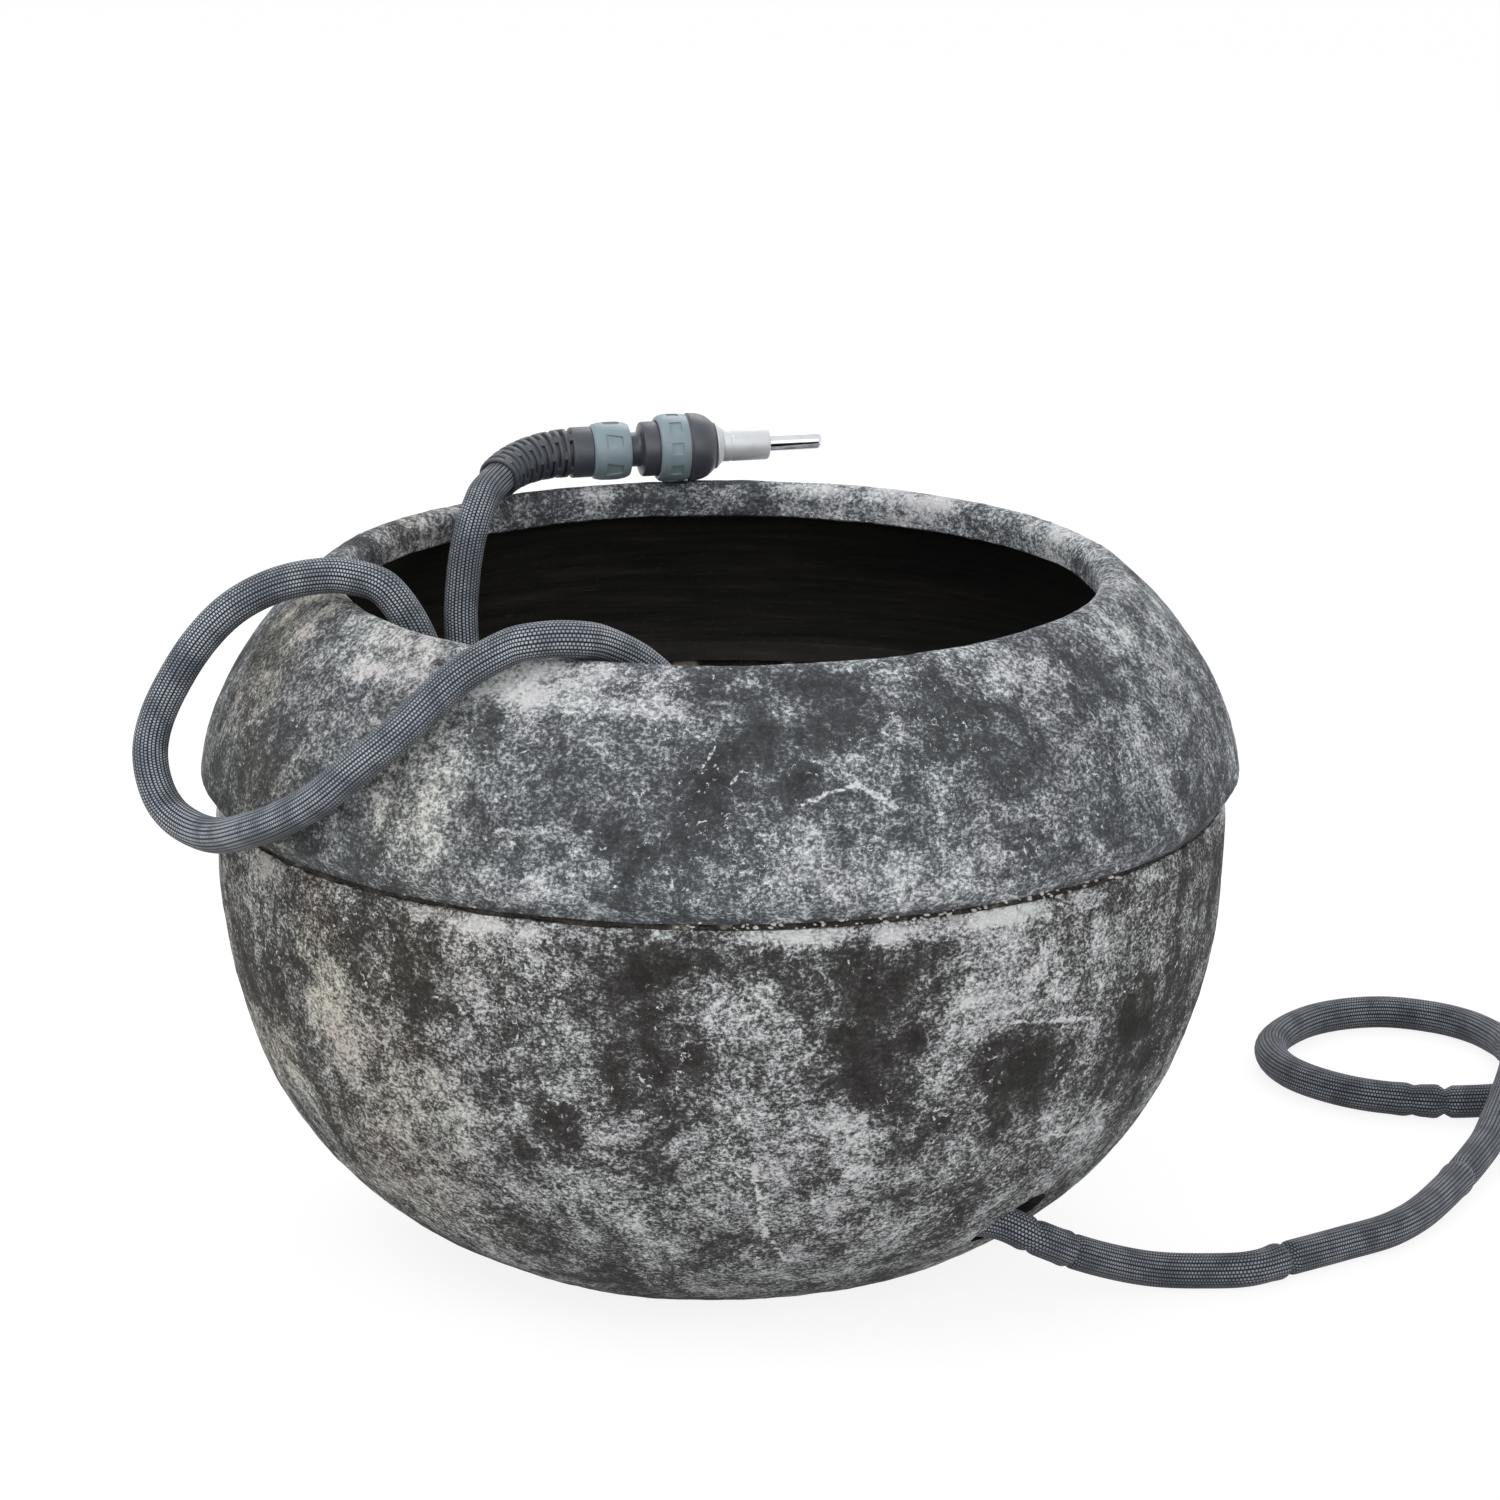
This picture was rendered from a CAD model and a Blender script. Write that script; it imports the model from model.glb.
# %% [markdown]
# # A garden hose pot
# A heavy cement pot keeps a garden hose coiled inside it. One end of the hose leaves by a hole
# near the foot, for the tap. The other end comes up over the rim and carries a spray nozzle.
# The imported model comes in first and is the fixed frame: every piece below is made in the same
# place and in metres, so nothing has to be fitted afterwards.

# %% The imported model
import math

import bpy
from mathutils import Matrix, Vector, geometry, noise


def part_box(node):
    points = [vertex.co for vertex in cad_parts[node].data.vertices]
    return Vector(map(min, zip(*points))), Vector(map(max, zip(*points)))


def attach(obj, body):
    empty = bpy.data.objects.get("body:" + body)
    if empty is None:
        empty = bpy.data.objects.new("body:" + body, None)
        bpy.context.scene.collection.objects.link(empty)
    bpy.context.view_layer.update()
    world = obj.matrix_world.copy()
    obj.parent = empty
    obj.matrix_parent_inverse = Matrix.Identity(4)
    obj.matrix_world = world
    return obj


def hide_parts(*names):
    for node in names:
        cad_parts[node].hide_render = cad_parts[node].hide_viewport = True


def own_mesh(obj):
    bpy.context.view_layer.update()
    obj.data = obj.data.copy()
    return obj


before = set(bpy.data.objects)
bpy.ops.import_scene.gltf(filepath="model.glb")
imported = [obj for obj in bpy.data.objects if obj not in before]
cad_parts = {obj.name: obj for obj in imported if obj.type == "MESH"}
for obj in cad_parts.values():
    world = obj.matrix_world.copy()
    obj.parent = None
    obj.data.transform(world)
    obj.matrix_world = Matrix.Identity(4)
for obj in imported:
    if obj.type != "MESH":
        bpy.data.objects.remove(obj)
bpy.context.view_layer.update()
MM = 0.001

# %% [markdown]
# ## The camera
# The photograph looks down on the pot from a little over three metres away with a long lens,
# which is why the far rim is nearly as wide as the near one. A long lens with a small shift
# gives the same picture, and the pot stays at the world's centre.

# %% Camera
CAMERA_BACK = 3.249
CAMERA_HEIGHT = 1.159
CAMERA_TILT = 74.71
CAMERA_LENS = 149.5
CAMERA_SHIFT = 0.0197
SENSOR = 36

camera_data = bpy.data.cameras.new("camera")
camera = bpy.data.objects.new("camera", camera_data)
bpy.context.scene.collection.objects.link(camera)
camera.location = (0, -CAMERA_BACK, CAMERA_HEIGHT)
camera.rotation_euler = (math.radians(CAMERA_TILT), 0, 0)
camera_data.lens = CAMERA_LENS
camera_data.sensor_width = SENSOR
camera_data.shift_x = CAMERA_SHIFT
bpy.context.scene.camera = camera
print("camera, m:", [round(x, 2) for x in camera.location], "lens, mm:", CAMERA_LENS)

# %% [markdown]
# ## Sizes that the pieces share
# The pot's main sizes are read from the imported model. The rest are the real sizes of the pieces
# in millimetres: a 19 mm hose with a 12.5 mm bore, and fittings that are made for it.

# %% Sizes
collar_low, collar_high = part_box("collar")
COLLAR_R = collar_high.x / MM
RIM_Z = collar_high.z / MM
SEAM_Z = collar_low.z / MM
BOWL_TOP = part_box("bowl")[1].z / MM
BOWL_R = COLLAR_R - 7
FOOT_R = 122
RIM_R = 211
LIP_ROUND = 9
LIP_DEPTH = 20
BEVEL_H = 10
WALL = 18
FLOOR = 22
BOWL_POWER = 2.5

HOSE_D = 19
HOSE_BORE = 12.5
SLEEVE_R = (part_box("tap_release_sleeve")[1].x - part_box("tap_release_sleeve")[0].x) / 2 / MM
print("pot radius", round(COLLAR_R, 1), "height", round(RIM_Z, 1), "sleeve radius", round(SLEEVE_R, 2))

# %% [markdown]
# The nozzle lies across the back of the rim, and the tap coupling lies on the ground. Both are
# turned pieces, so each is modelled along its own x axis and is then set in place by one matrix.

# %% Places of the two fittings
NOZZLE_X = -28.4
NOZZLE_YAW = 13
RING_L = 17
REST_GAP = 0.3
TAP_AT = (545, 318, SLEEVE_R + REST_GAP)


def placing(at, yaw):
    """The matrix that puts a piece made along x in its place, from millimetres to metres."""
    return Matrix.Translation(Vector(at) * MM) @ Matrix.Rotation(math.radians(yaw), 4, "Z")


yaw = math.radians(NOZZLE_YAW)
nozzle_at = (
    NOZZLE_X - RING_L / 2 * math.cos(yaw),
    math.sqrt(RIM_R**2 - NOZZLE_X**2) - RING_L / 2 * math.sin(yaw),
    RIM_Z + SLEEVE_R + REST_GAP,
)
on_nozzle = placing(nozzle_at, NOZZLE_YAW)
on_tap = placing(TAP_AT, 90)

GUARD_X = -50
GUARD_BEND = 55
GUARD_ANGLE = 56
GUARD_ROLL = 18
GUARD_STEPS = 24
on_guard = (
    on_nozzle
    @ Matrix.Translation((GUARD_X * MM, 0, 0))
    @ Matrix.Rotation(math.radians(GUARD_ROLL), 4, "X")
)


def bent(x, y, z):
    """A point of the straight guard, once the guard is bent: behind x = 0 it follows the arc."""
    if x >= 0:
        return Vector((x, y, z))
    angle = -x / GUARD_BEND
    across = Vector((-math.sin(angle), math.cos(angle), 0))
    middle = Vector((-GUARD_BEND * math.sin(angle), -GUARD_BEND * (1 - math.cos(angle)), 0))
    return middle + y * across + Vector((0, 0, z))


guard_l = GUARD_BEND * math.radians(GUARD_ANGLE)
guard_mouth = (on_guard @ (bent(-guard_l, 0, 0) * MM)) / MM
guard_way = (guard_mouth - (on_guard @ (bent(-guard_l + 1, 0, 0) * MM)) / MM).normalized()
BARB_SHOULDER = -19
BARB_L = 25
tap_entry = (on_tap @ (Vector((BARB_SHOULDER - BARB_L - 1, 0, 0)) * MM)) / MM
tap_way = Vector((0, 1, 0))
print("guard mouth, mm:", [round(x, 1) for x in guard_mouth])

# %% [markdown]
# ## The hose
# It is one textile garden hose of about ten metres. It starts in the bend guard, drops into the
# pot, lies over the rim in one loose loop, and winds down through a coil of four layers. Then it
# leaves by the hole and lies on the ground as far as the tap coupling. The free stretches are
# points that were chosen by eye, and the coil's turns follow a rule.

# %% Route of the hose, in millimetres
COIL_R = 125
COIL_LOOPS = 3
COIL_LAYERS = 4
COIL_PITCH = HOSE_D + 0.8
COIL_START = -97
COIL_Z = 32


def coil_point(turn):
    """A point of the coil, which spirals in and out and climbs a layer where it reverses."""
    depth = 1 - abs((turn / COIL_LOOPS) % 2 - 1)
    radius = COIL_R - COIL_PITCH * COIL_LOOPS * depth
    angle = math.radians(COIL_START - 360 * turn)
    climbed = sum(
        min(max((turn - layer * COIL_LOOPS + 0.25) / 0.5, 0), 1) for layer in range(1, COIL_LAYERS)
    )
    return Vector(
        (radius * math.cos(angle), radius * math.sin(angle), COIL_Z + COIL_PITCH * climbed)
    )


start = math.radians(COIL_START)
coil_way = Vector((math.sin(start), -math.cos(start), 0))
coil_turns = COIL_LOOPS * COIL_LAYERS
coil_first = coil_point(0) - HOSE_D * coil_way
coil_last = coil_point(coil_turns) + HOSE_D * coil_way

LOOP_ROUTE = [
    (-56, -122, 93), (-76, -124, 103), (-90, -130, 129), (-84, -140, 165),
    (-70, -147, 200), (-44, -158, 260), (-22, -167, 315),
    (-22, -172, 342), (-38, -177, 363), (-60, -188, 378), (-75, -198, 383),
    (-92, -201, 383), (-107, -199, 379), (-132, -203, 365), (-162, -210, 338),
    (-184, -208, 319), (-203, -200, 301), (-222, -185, 286), (-241, -163, 273),
    (-259, -133, 261), (-274, -110, 257), (-288, -97, 262), (-297, -87, 273),
    (-301, -78, 290), (-298, -72, 307), (-288, -68, 328), (-274, -66, 349),
    (-257, -65, 366), (-237, -64, 377), (-216, -66, 383), (-195, -69, 384),
    (-174, -75, 377), (-154, -84, 343), (-149, -86, 300), (-137, -78, 245),
    (-126, -56, 195), (-120, -10, 166), (-122, 40, 172), (-130, 76, 212),
    (-139, 94, 262), (-144, 105, 314), (-143, 113, 338), (-140.5, 121, 356),
    (-137.5, 128.5, 367), (-134.5, 137, 374.5),
]
SUPPLY_ROUTE = [
    (22, -129.5, 34), (42, -133, 39), (80, -138.5, 49), (122, -142.5, 53.5), (145, -145, 53),
    (166, -145, 44), (187, -131, 31), (211, -116, 19), (233, -107, 12), (258, -104, 10),
    (283, -101, 10), (306, -84, 10), (336, -62, 10), (367, -37, 10), (393, 4, 10),
    (431, 90, 13), (445, 130, 20), (456, 165, 28), (463, 195, 31),
    (468, 228, 25), (469, 262, 14), (466, 294, 10), (452, 322, 10), (430, 342, 10),
    (398, 352, 10), (363, 340, 10), (338, 311, 10), (327, 277, 10), (334, 238, 10),
    (357, 207, 10), (386, 189, 10), (430, 181, 10), (482, 196, 10), (520, 221, 12),
]

# %% [markdown]
# A limp hose has no corners, so a cubic curve goes through the chosen points. It is then cut
# into even steps, short where the hose shows and longer in the coil.

# %% From chosen points to even steps
SHOWN_STEP = 2
COIL_STEP = 6
CURVE_CUTS = 24
TURN_CUTS = 72


def curve_through(points, first_way, last_way):
    """A smooth curve through the points, as many short stretches."""
    ways = [first_way]
    for before, after in zip(points[:-2], points[2:]):
        ways.append((after - before).normalized())
    ways.append(last_way)
    line = []
    for i, (a, b) in enumerate(zip(points[:-1], points[1:])):
        third = (b - a).length / 3
        handles = a + ways[i] * third, b - ways[i + 1] * third
        line += geometry.interpolate_bezier(a, *handles, b, CURVE_CUTS)[:-1]
    return line + [points[-1]]


def even_steps(line, step):
    """The same line in steps of one length, from its first point to its last."""
    total = sum((b - a).length for a, b in zip(line[:-1], line[1:]))
    count = round(total / step)
    wanted = [total * i / count for i in range(1, count)]
    made = [line[0]]
    gone = 0
    for a, b in zip(line[:-1], line[1:]):
        stretch = (b - a).length
        while wanted and wanted[0] <= gone + stretch:
            made.append(a.lerp(b, (wanted.pop(0) - gone) / stretch))
        gone += stretch
    return made + [line[-1]]


def points_of(route):
    """A route's places as points that can be added and measured."""
    return [Vector(p) for p in route]


guard_end = [guard_mouth + HOSE_D * guard_way, guard_mouth]
tap_end = [tap_entry - HOSE_D * tap_way, tap_entry]
loop_points = [coil_last] + points_of(LOOP_ROUTE) + guard_end
supply_points = [coil_first] + points_of(SUPPLY_ROUTE) + tap_end
loop_line = even_steps(curve_through(loop_points, coil_way, -guard_way), SHOWN_STEP)
coil_points = [coil_point(i / TURN_CUTS) for i in range(coil_turns * TURN_CUTS + 1)]
coil_line = even_steps(coil_points, COIL_STEP)
supply_line = even_steps(curve_through(supply_points, -coil_way, tap_way), SHOWN_STEP)

# the ends run on inside the fittings, as far as the shoulders of the barbs
guard_stations = [BARB_SHOULDER - GUARD_X] + [
    -guard_l * i / GUARD_STEPS for i in range(GUARD_STEPS + 1)
]
guard_points = [(on_guard @ (bent(x, 0, 0) * MM)) / MM for x in guard_stations]
guard_line = even_steps(guard_points, SHOWN_STEP)
tap_shoulder = (on_tap @ (Vector((BARB_SHOULDER, 0, 0)) * MM)) / MM
tail_line = even_steps([tap_entry, tap_shoulder], SHOWN_STEP)
hose_line = guard_line[:-1] + loop_line[::-1] + coil_line[::-1] + supply_line + tail_line[1:]

# %% [markdown]
# The woven sleeve shows where the hose was folded: on the pot's side of a crease it swells a
# little, and then it draws in at once. Each crease is a place on the route, and the tube's radius
# changes there over a few millimetres.

# %% Creases
CREASES = [  # place, swelling before it, narrowing after it, length
    ((164, -145, 45), 0.03, 0.12, 3),
    ((186, -134, 32), 0.04, 0.18, 3),
    ((304, -88, 10), 0.06, 0.28, 4),
    ((413, 48, 10), 0.06, 0.15, 5),
    ((419, 181, 10), 0.04, 0.25, 4),
    ((403, 185, 10), 0.03, 0.10, 4),
]


def hose_radii(line):
    """The hose's radius at every point of its line."""
    radii = [HOSE_D / 2] * len(line)
    for place, swelling, narrowing, length in CREASES:
        middle = min(range(len(line)), key=lambda i: (line[i] - Vector(place)).length)
        for i in range(middle - 15, middle + 16):
            after = (i - middle) * SHOWN_STEP / length
            swells = swelling * math.exp(-((after + 1.5) ** 2))
            radii[i] *= 1 + swells - narrowing * math.exp(-((after / 0.6) ** 2))
    return radii


hose_radius = hose_radii(hose_line)
print("thinnest place of the hose, mm:", round(2 * min(hose_radius), 1))

# %% [markdown]
# A curve with a round bevel would give a hose too, but its map isn't in real lengths, which the
# weave needs. So rings of points are set along the line, and each ring is turned no more than
# the line turns. The tube keeps a map of the way round and the way along in metres. It also
# notes which points look down, where a hose gets dirty.

# %% A tube along a line, with its own map for the weave
HOSE_SIDES = 28


def tube(name, line, radii, sides):
    """A closed tube along a line in mm, with a map that runs round it and along it in metres."""
    ways = [line[1] - line[0]]
    for before, after in zip(line[:-2], line[2:]):
        ways.append(after - before)
    ways.append(line[-1] - line[-2])
    side = ways[0].orthogonal().normalized()
    points = []
    underside = []
    along = [0]
    for i, (middle, way) in enumerate(zip(line, ways)):
        way.normalize()
        side = (side - side.dot(way) * way).normalized()
        other = way.cross(side)
        for k in range(sides):
            angle = math.tau * k / sides
            out = math.cos(angle) * side + math.sin(angle) * other
            points.append((middle + radii[i] * out) * MM)
            underside.append(max(0.0, -out.z))
        if i:
            along.append(along[-1] + (middle - line[i - 1]).length * MM)
    walls = []
    uvs = []
    for i in range(len(line) - 1):
        for k in range(sides):
            near, far, nxt = i * sides, (i + 1) * sides, (k + 1) % sides
            walls.append((near + k, near + nxt, far + nxt, far + k))
            uvs += [(k / sides, along[i]), ((k + 1) / sides, along[i])]
            uvs += [((k + 1) / sides, along[i + 1]), (k / sides, along[i + 1])]
    last = (len(line) - 1) * sides
    caps = [tuple(range(sides))[::-1], tuple(last + k for k in range(sides))]
    uvs += [(0, 0)] * sides * 2
    mesh = bpy.data.meshes.new(name)
    mesh.from_pydata(points, [], walls + caps)
    layer = mesh.uv_layers.new(name="along_the_tube")
    layer.data.foreach_set("uv", [x for uv in uvs for x in uv])
    mesh.attributes.new("underside", "FLOAT", "POINT").data.foreach_set("value", underside)
    mesh.shade_smooth()
    piece = bpy.data.objects.new(name, mesh)
    bpy.context.scene.collection.objects.link(piece)
    return piece


hose = tube("garden_hose", hose_line, hose_radius, HOSE_SIDES)
print("hose faces:", len(hose.data.polygons))

# %% [markdown]
# ## Making materials
# Every finish is a small network of nodes. One function adds a node with its settings, its
# numbers and its links, and colours are written as they look on a screen.

# %% Helpers for materials


def colour(code):
    """A screen colour, such as 8A8F94, as the linear values that a shader works in."""
    parts = [int(code[i : i + 2], 16) / 255 for i in (0, 2, 4)]
    linear = [c / 12.92 if c <= 0.04045 else ((c + 0.055) / 1.055) ** 2.4 for c in parts]
    return (*linear, 1.0)


def add(tree, kind, inputs=(), **settings):
    """Adds a node. An input is given by its name or number, as a value or as a socket to link."""
    made = tree.nodes.new("ShaderNode" + kind)
    for name, value in settings.items():
        setattr(made, name, value)
    for name, value in dict(inputs).items():
        if isinstance(value, bpy.types.NodeSocket):
            tree.links.new(value, made.inputs[name])
        else:
            made.inputs[name].default_value = value
    return made


def calculate(tree, operation, *values):
    """The result of a calculation on values or sockets."""
    return add(tree, "Math", dict(enumerate(values)), operation=operation).outputs[0]


def between(tree, value, low, high, to_low=0.0, to_high=1.0, smooth=True):
    """A value stretched from one range to another, and held inside it."""
    kind = "SMOOTHSTEP" if smooth else "LINEAR"
    inputs = {"Value": value, "From Min": low, "From Max": high, "To Min": to_low, "To Max": to_high}
    return add(tree, "MapRange", inputs, interpolation_type=kind).outputs["Result"]


def ramp(tree, value, stops):
    """Colours along a value: stops are places from 0 to 1 with their screen colours."""
    made = add(tree, "ValToRGB", {"Fac": value})
    while len(made.color_ramp.elements) < len(stops):
        made.color_ramp.elements.new(0.5)
    for element, (place, code) in zip(made.color_ramp.elements, stops):
        element.position = place
        element.color = colour(code)
    return made.outputs["Color"]


def blend_colours(tree, share, first, second, mode="MIX"):
    """The second colour over the first, by a share."""
    inputs = {"Factor": share, 6: first, 7: second}
    return add(tree, "Mix", inputs, data_type="RGBA", blend_type=mode).outputs[2]


def start_material(name, slot_values):
    """A material with its main shader, whose constant inputs are set on its own sockets."""
    material = bpy.data.materials.new(name)
    material.use_nodes = True
    tree = material.node_tree
    tree.nodes.clear()
    shader = add(tree, "BsdfPrincipled", slot_values)
    output = add(tree, "OutputMaterial", {"Surface": shader.outputs["BSDF"]})
    return material, tree, shader, output


def bump(tree, shader, height, distance):
    """Gives the shader's surface a height, whose full range is a distance in metres."""
    made = add(tree, "Bump", {"Height": height, "Distance": distance})
    tree.links.new(made.outputs["Normal"], shader.inputs["Normal"])


def noise_at(tree, place, scale, detail=3.0, rough=0.55):
    """Cloudy noise whose blotches are about 1 / scale metres across."""
    inputs = {"Vector": place, "Scale": scale, "Detail": detail, "Roughness": rough}
    return add(tree, "TexNoise", inputs).outputs["Fac"]


# %% [markdown]
# ## The cement of the pot
# The pot is fibre cement: cast in moulds, coloured charcoal, and then washed over with pale
# chalky limewash that is rubbed off again. What is left lies in ragged clouds with a sandy grain
# of about a millimetre, brushed slightly level. So the wash is a sum of noises: clouds, blotches,
# one drawn out sideways for the brush, sharp-edged chips, and a fine one for the grain. A colour
# ramp turns the sum into bare cement, thin film or chalk. A few larger bare and chalky places and
# the longest scratches are set by hand, where the photograph has them.

# %% Places of the wash


def wash_patches(tree, place, patches):
    """How much more or less wash there is, from round patches: centre in mm, radius in mm, amount."""
    total = 0.0
    for centre, radius, amount in patches:
        inputs = {0: place, 1: Vector(centre) * MM}
        far = add(tree, "VectorMath", inputs, operation="DISTANCE").outputs["Value"]
        near = between(tree, far, radius * MM * 1.4, radius * MM * 0.4)
        total = calculate(tree, "MULTIPLY_ADD", near, amount, total)
    return total


def wash_scratches(tree, place, scratches):
    """White scratches: each runs from one place to another, and has a width, all in mm."""
    total = 0.0
    for first, last, width in scratches:
        first, way = Vector(first) * MM, (Vector(last) - Vector(first)) * MM
        ahead = add(tree, "VectorMath", {0: place, 1: first}, operation="SUBTRACT").outputs[0]
        inputs = {0: ahead, 1: way / way.length_squared}
        share = add(tree, "VectorMath", inputs, operation="DOT_PRODUCT").outputs["Value"]
        share = between(tree, share, 0.0, 1.0, smooth=False)
        nearest = add(tree, "VectorMath", {0: way, "Scale": share}, operation="SCALE").outputs[0]
        far = add(tree, "VectorMath", {0: ahead, 1: nearest}, operation="DISTANCE").outputs["Value"]
        near = between(tree, far, width * MM, width * MM * 0.3)
        total = calculate(tree, "MAXIMUM", near, total)
    return total


# %% [markdown]
# The wash is laid down in the order in which the real surface came about: the cloudy wash, the
# broad places and level bands where it was rubbed or left thick, the grain of the skin under it,
# then flecks, pits and scratches. Noise also pushes the outlines about, so that no patch is
# round and no scratch is straight.

# %% Cement with a limewash


def moved_by_noise(tree, place, scale, amount):
    """A place pushed about by noise, so that outlines in it get ragged."""
    push = add(tree, "TexNoise", {"Vector": place, "Scale": scale, "Detail": 5.0}).outputs["Color"]
    push = add(tree, "VectorMath", {0: push, 1: (0.5, 0.5, 0.5)}, operation="SUBTRACT").outputs[0]
    push = add(tree, "VectorMath", {0: push, "Scale": amount}, operation="SCALE").outputs[0]
    return add(tree, "VectorMath", {0: place, 1: push}, operation="ADD").outputs[0]


def spread_noise(tree, place, scale, detail, rough):
    """Noise that is stretched to run from -1 to 1."""
    return between(tree, noise_at(tree, place, scale, detail, rough), 0.3, 0.7, -1, 1, False)


def cement(name, stops, patches, bands, scratches):
    """Washed cement. bands are heights in mm with half a width and an amount of wash."""
    material, tree, shader, _ = start_material(
        name, {"Roughness": 0.86, "Specular IOR Level": 0.25}
    )
    place = add(tree, "TexCoord").outputs["Object"]
    moved = moved_by_noise(tree, place, 18.0, 0.05)
    ragged = moved_by_noise(tree, place, 170.0, 0.012)
    level = add(tree, "Mapping", {"Vector": place, "Scale": (1, 1, 1.3)}).outputs[0]
    brushed = add(tree, "Mapping", {"Vector": place, "Scale": (1, 1, 6)}).outputs[0]
    clouds = spread_noise(tree, moved, 10, 6, 0.6)
    blotches = spread_noise(tree, moved, 38, 6, 0.72)
    brush = spread_noise(tree, brushed, 90, 4, 0.7)
    chips = between(tree, noise_at(tree, moved, 95, 5, 0.65), 0.45, 0.55, -1, 1)
    mottle = spread_noise(tree, level, 190, 3, 0.65)
    grain = between(tree, noise_at(tree, level, 480, 3, 0.75), 0.40, 0.60, -1, 1)

    wash = 0.5
    for layer, amount in ((clouds, 0.20), (blotches, 0.26), (brush, 0.06), (chips, 0.06)):
        wash = calculate(tree, "MULTIPLY_ADD", layer, amount, wash)
    torn = moved_by_noise(tree, moved_by_noise(tree, place, 32.0, 0.08), 130.0, 0.035)
    wash = calculate(tree, "ADD", wash, wash_patches(tree, torn, patches))
    height = add(tree, "SeparateXYZ", {0: ragged}).outputs["Z"]
    uneven = between(tree, clouds, -0.5, 0.5, 0.25, 1.0)
    for middle, half, amount in bands:
        far = calculate(tree, "ABSOLUTE", calculate(tree, "SUBTRACT", height, middle * MM))
        near = calculate(tree, "MULTIPLY", between(tree, far, half * MM, 0.0), uneven)
        wash = calculate(tree, "MULTIPLY_ADD", near, amount, wash)
    # the grain shows most where the wash is half rubbed off, and little on bare cement
    broken = between(tree, wash, 0.15, 0.5, 0.45, 1.0)
    speckle = calculate(tree, "MULTIPLY_ADD", mottle, 0.35, calculate(tree, "MULTIPLY", grain, 0.5))
    speckle = calculate(tree, "MULTIPLY", speckle, broken)
    wash = calculate(tree, "MULTIPLY_ADD", speckle, 0.36, wash)

    # white flecks of lime in clusters, and pits where the wash broke off
    flecks = noise_at(tree, ragged, 290, 3, 0.65)
    clusters = between(tree, noise_at(tree, place, 22, 4), 0.42, 0.60)
    white = calculate(tree, "MULTIPLY", between(tree, flecks, 0.61, 0.67), clusters)
    wash = calculate(tree, "MULTIPLY_ADD", white, 0.8, wash)
    wash = calculate(tree, "MULTIPLY_ADD", between(tree, flecks, 0.36, 0.28), -0.3, wash)
    # scratches, broken up by the grain
    drawn_marks = wash_scratches(tree, moved_by_noise(tree, place, 260.0, 0.005), scratches)
    drawn_marks = calculate(tree, "MULTIPLY", drawn_marks, between(tree, grain, -1, 0, 0.6, 1.0))
    wash = calculate(tree, "MULTIPLY_ADD", drawn_marks, 0.6, wash)

    tone = ramp(tree, wash, stops)
    brown = between(tree, noise_at(tree, place, 9, 5), 0.4, 0.7, 0.2, 1.0)
    left = between(tree, add(tree, "SeparateXYZ", {0: place}).outputs["X"], -0.02, -0.25)
    tint = calculate(tree, "MULTIPLY", brown, left)
    tone = blend_colours(tree, tint, tone, colour("FBF1E0"), "MULTIPLY")
    rosy = between(tree, noise_at(tree, place, 26, 4), 0.42, 0.6)
    tone = blend_colours(tree, rosy, tone, colour("FAF6F9"), "MULTIPLY")
    tree.links.new(tone, shader.inputs["Base Color"])
    relief = calculate(tree, "MULTIPLY_ADD", mottle, 0.5, calculate(tree, "MULTIPLY", grain, 0.35))
    relief = calculate(tree, "MULTIPLY_ADD", wash, 0.4, relief)
    bump(tree, shader, relief, 0.0006)
    return material


# %% [markdown]
# The two castings share the finish and differ in its numbers. The bowl is darker and more broken,
# with a chalky line under the seam. The collar is paler and bluer, with a lip that hands and hose
# have rubbed light, and a dirty lower edge.

# %% The cement of the bowl
bowl_cement = cement(
    "limewashed fibre cement of the bowl",
    [
        (0.0, "2B2A29"), (0.18, "3A3938"), (0.36, "4B4A49"), (0.49, "6A6B6B"), (0.60, "979A9B"),
        (0.74, "C8CDCF"), (0.94, "F2F4F4"),
    ],
    [
        ((80, -260, 215), 30, -0.28), ((81, -255, 175), 34, -0.32), ((158, -213, 155), 34, -0.26),
        ((211, -164, 172), 26, -0.22), ((-39, -265, 178), 26, -0.20), ((-154, -224, 213), 26, -0.20),
        ((-28, -271, 232), 18, -0.16), ((-86, -244, 138), 26, -0.18), ((53, -243, 111), 14, -0.28),
        ((-223, -151, 187), 24, -0.18), ((10, -271, 202), 26, 0.14), ((-71, -261, 199), 28, 0.10),
        ((135, -236, 213), 26, 0.18), ((64, -249, 132), 24, 0.24), ((243, -119, 196), 24, 0.06),
        ((-61, -224, 82), 30, 0.10), ((119, -218, 110), 22, 0.12), ((-196, -184, 182), 24, 0.10),
        ((228, -135, 150), 42, -0.22),
    ],
    [(247, 9, 0.42), (3, 14, -0.12)],
    [
        ((17, -251, 120), (23, -226, 74), 3.2), ((24, -224, 74), (35, -206, 53), 2.4),
        ((-41, -264, 173), (12, -249, 112), 1.2), ((150, -224, 188), (185, -195, 181), 2.0),
        ((171, -182, 113), (200, -142, 104), 1.6),
    ],
)

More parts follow.
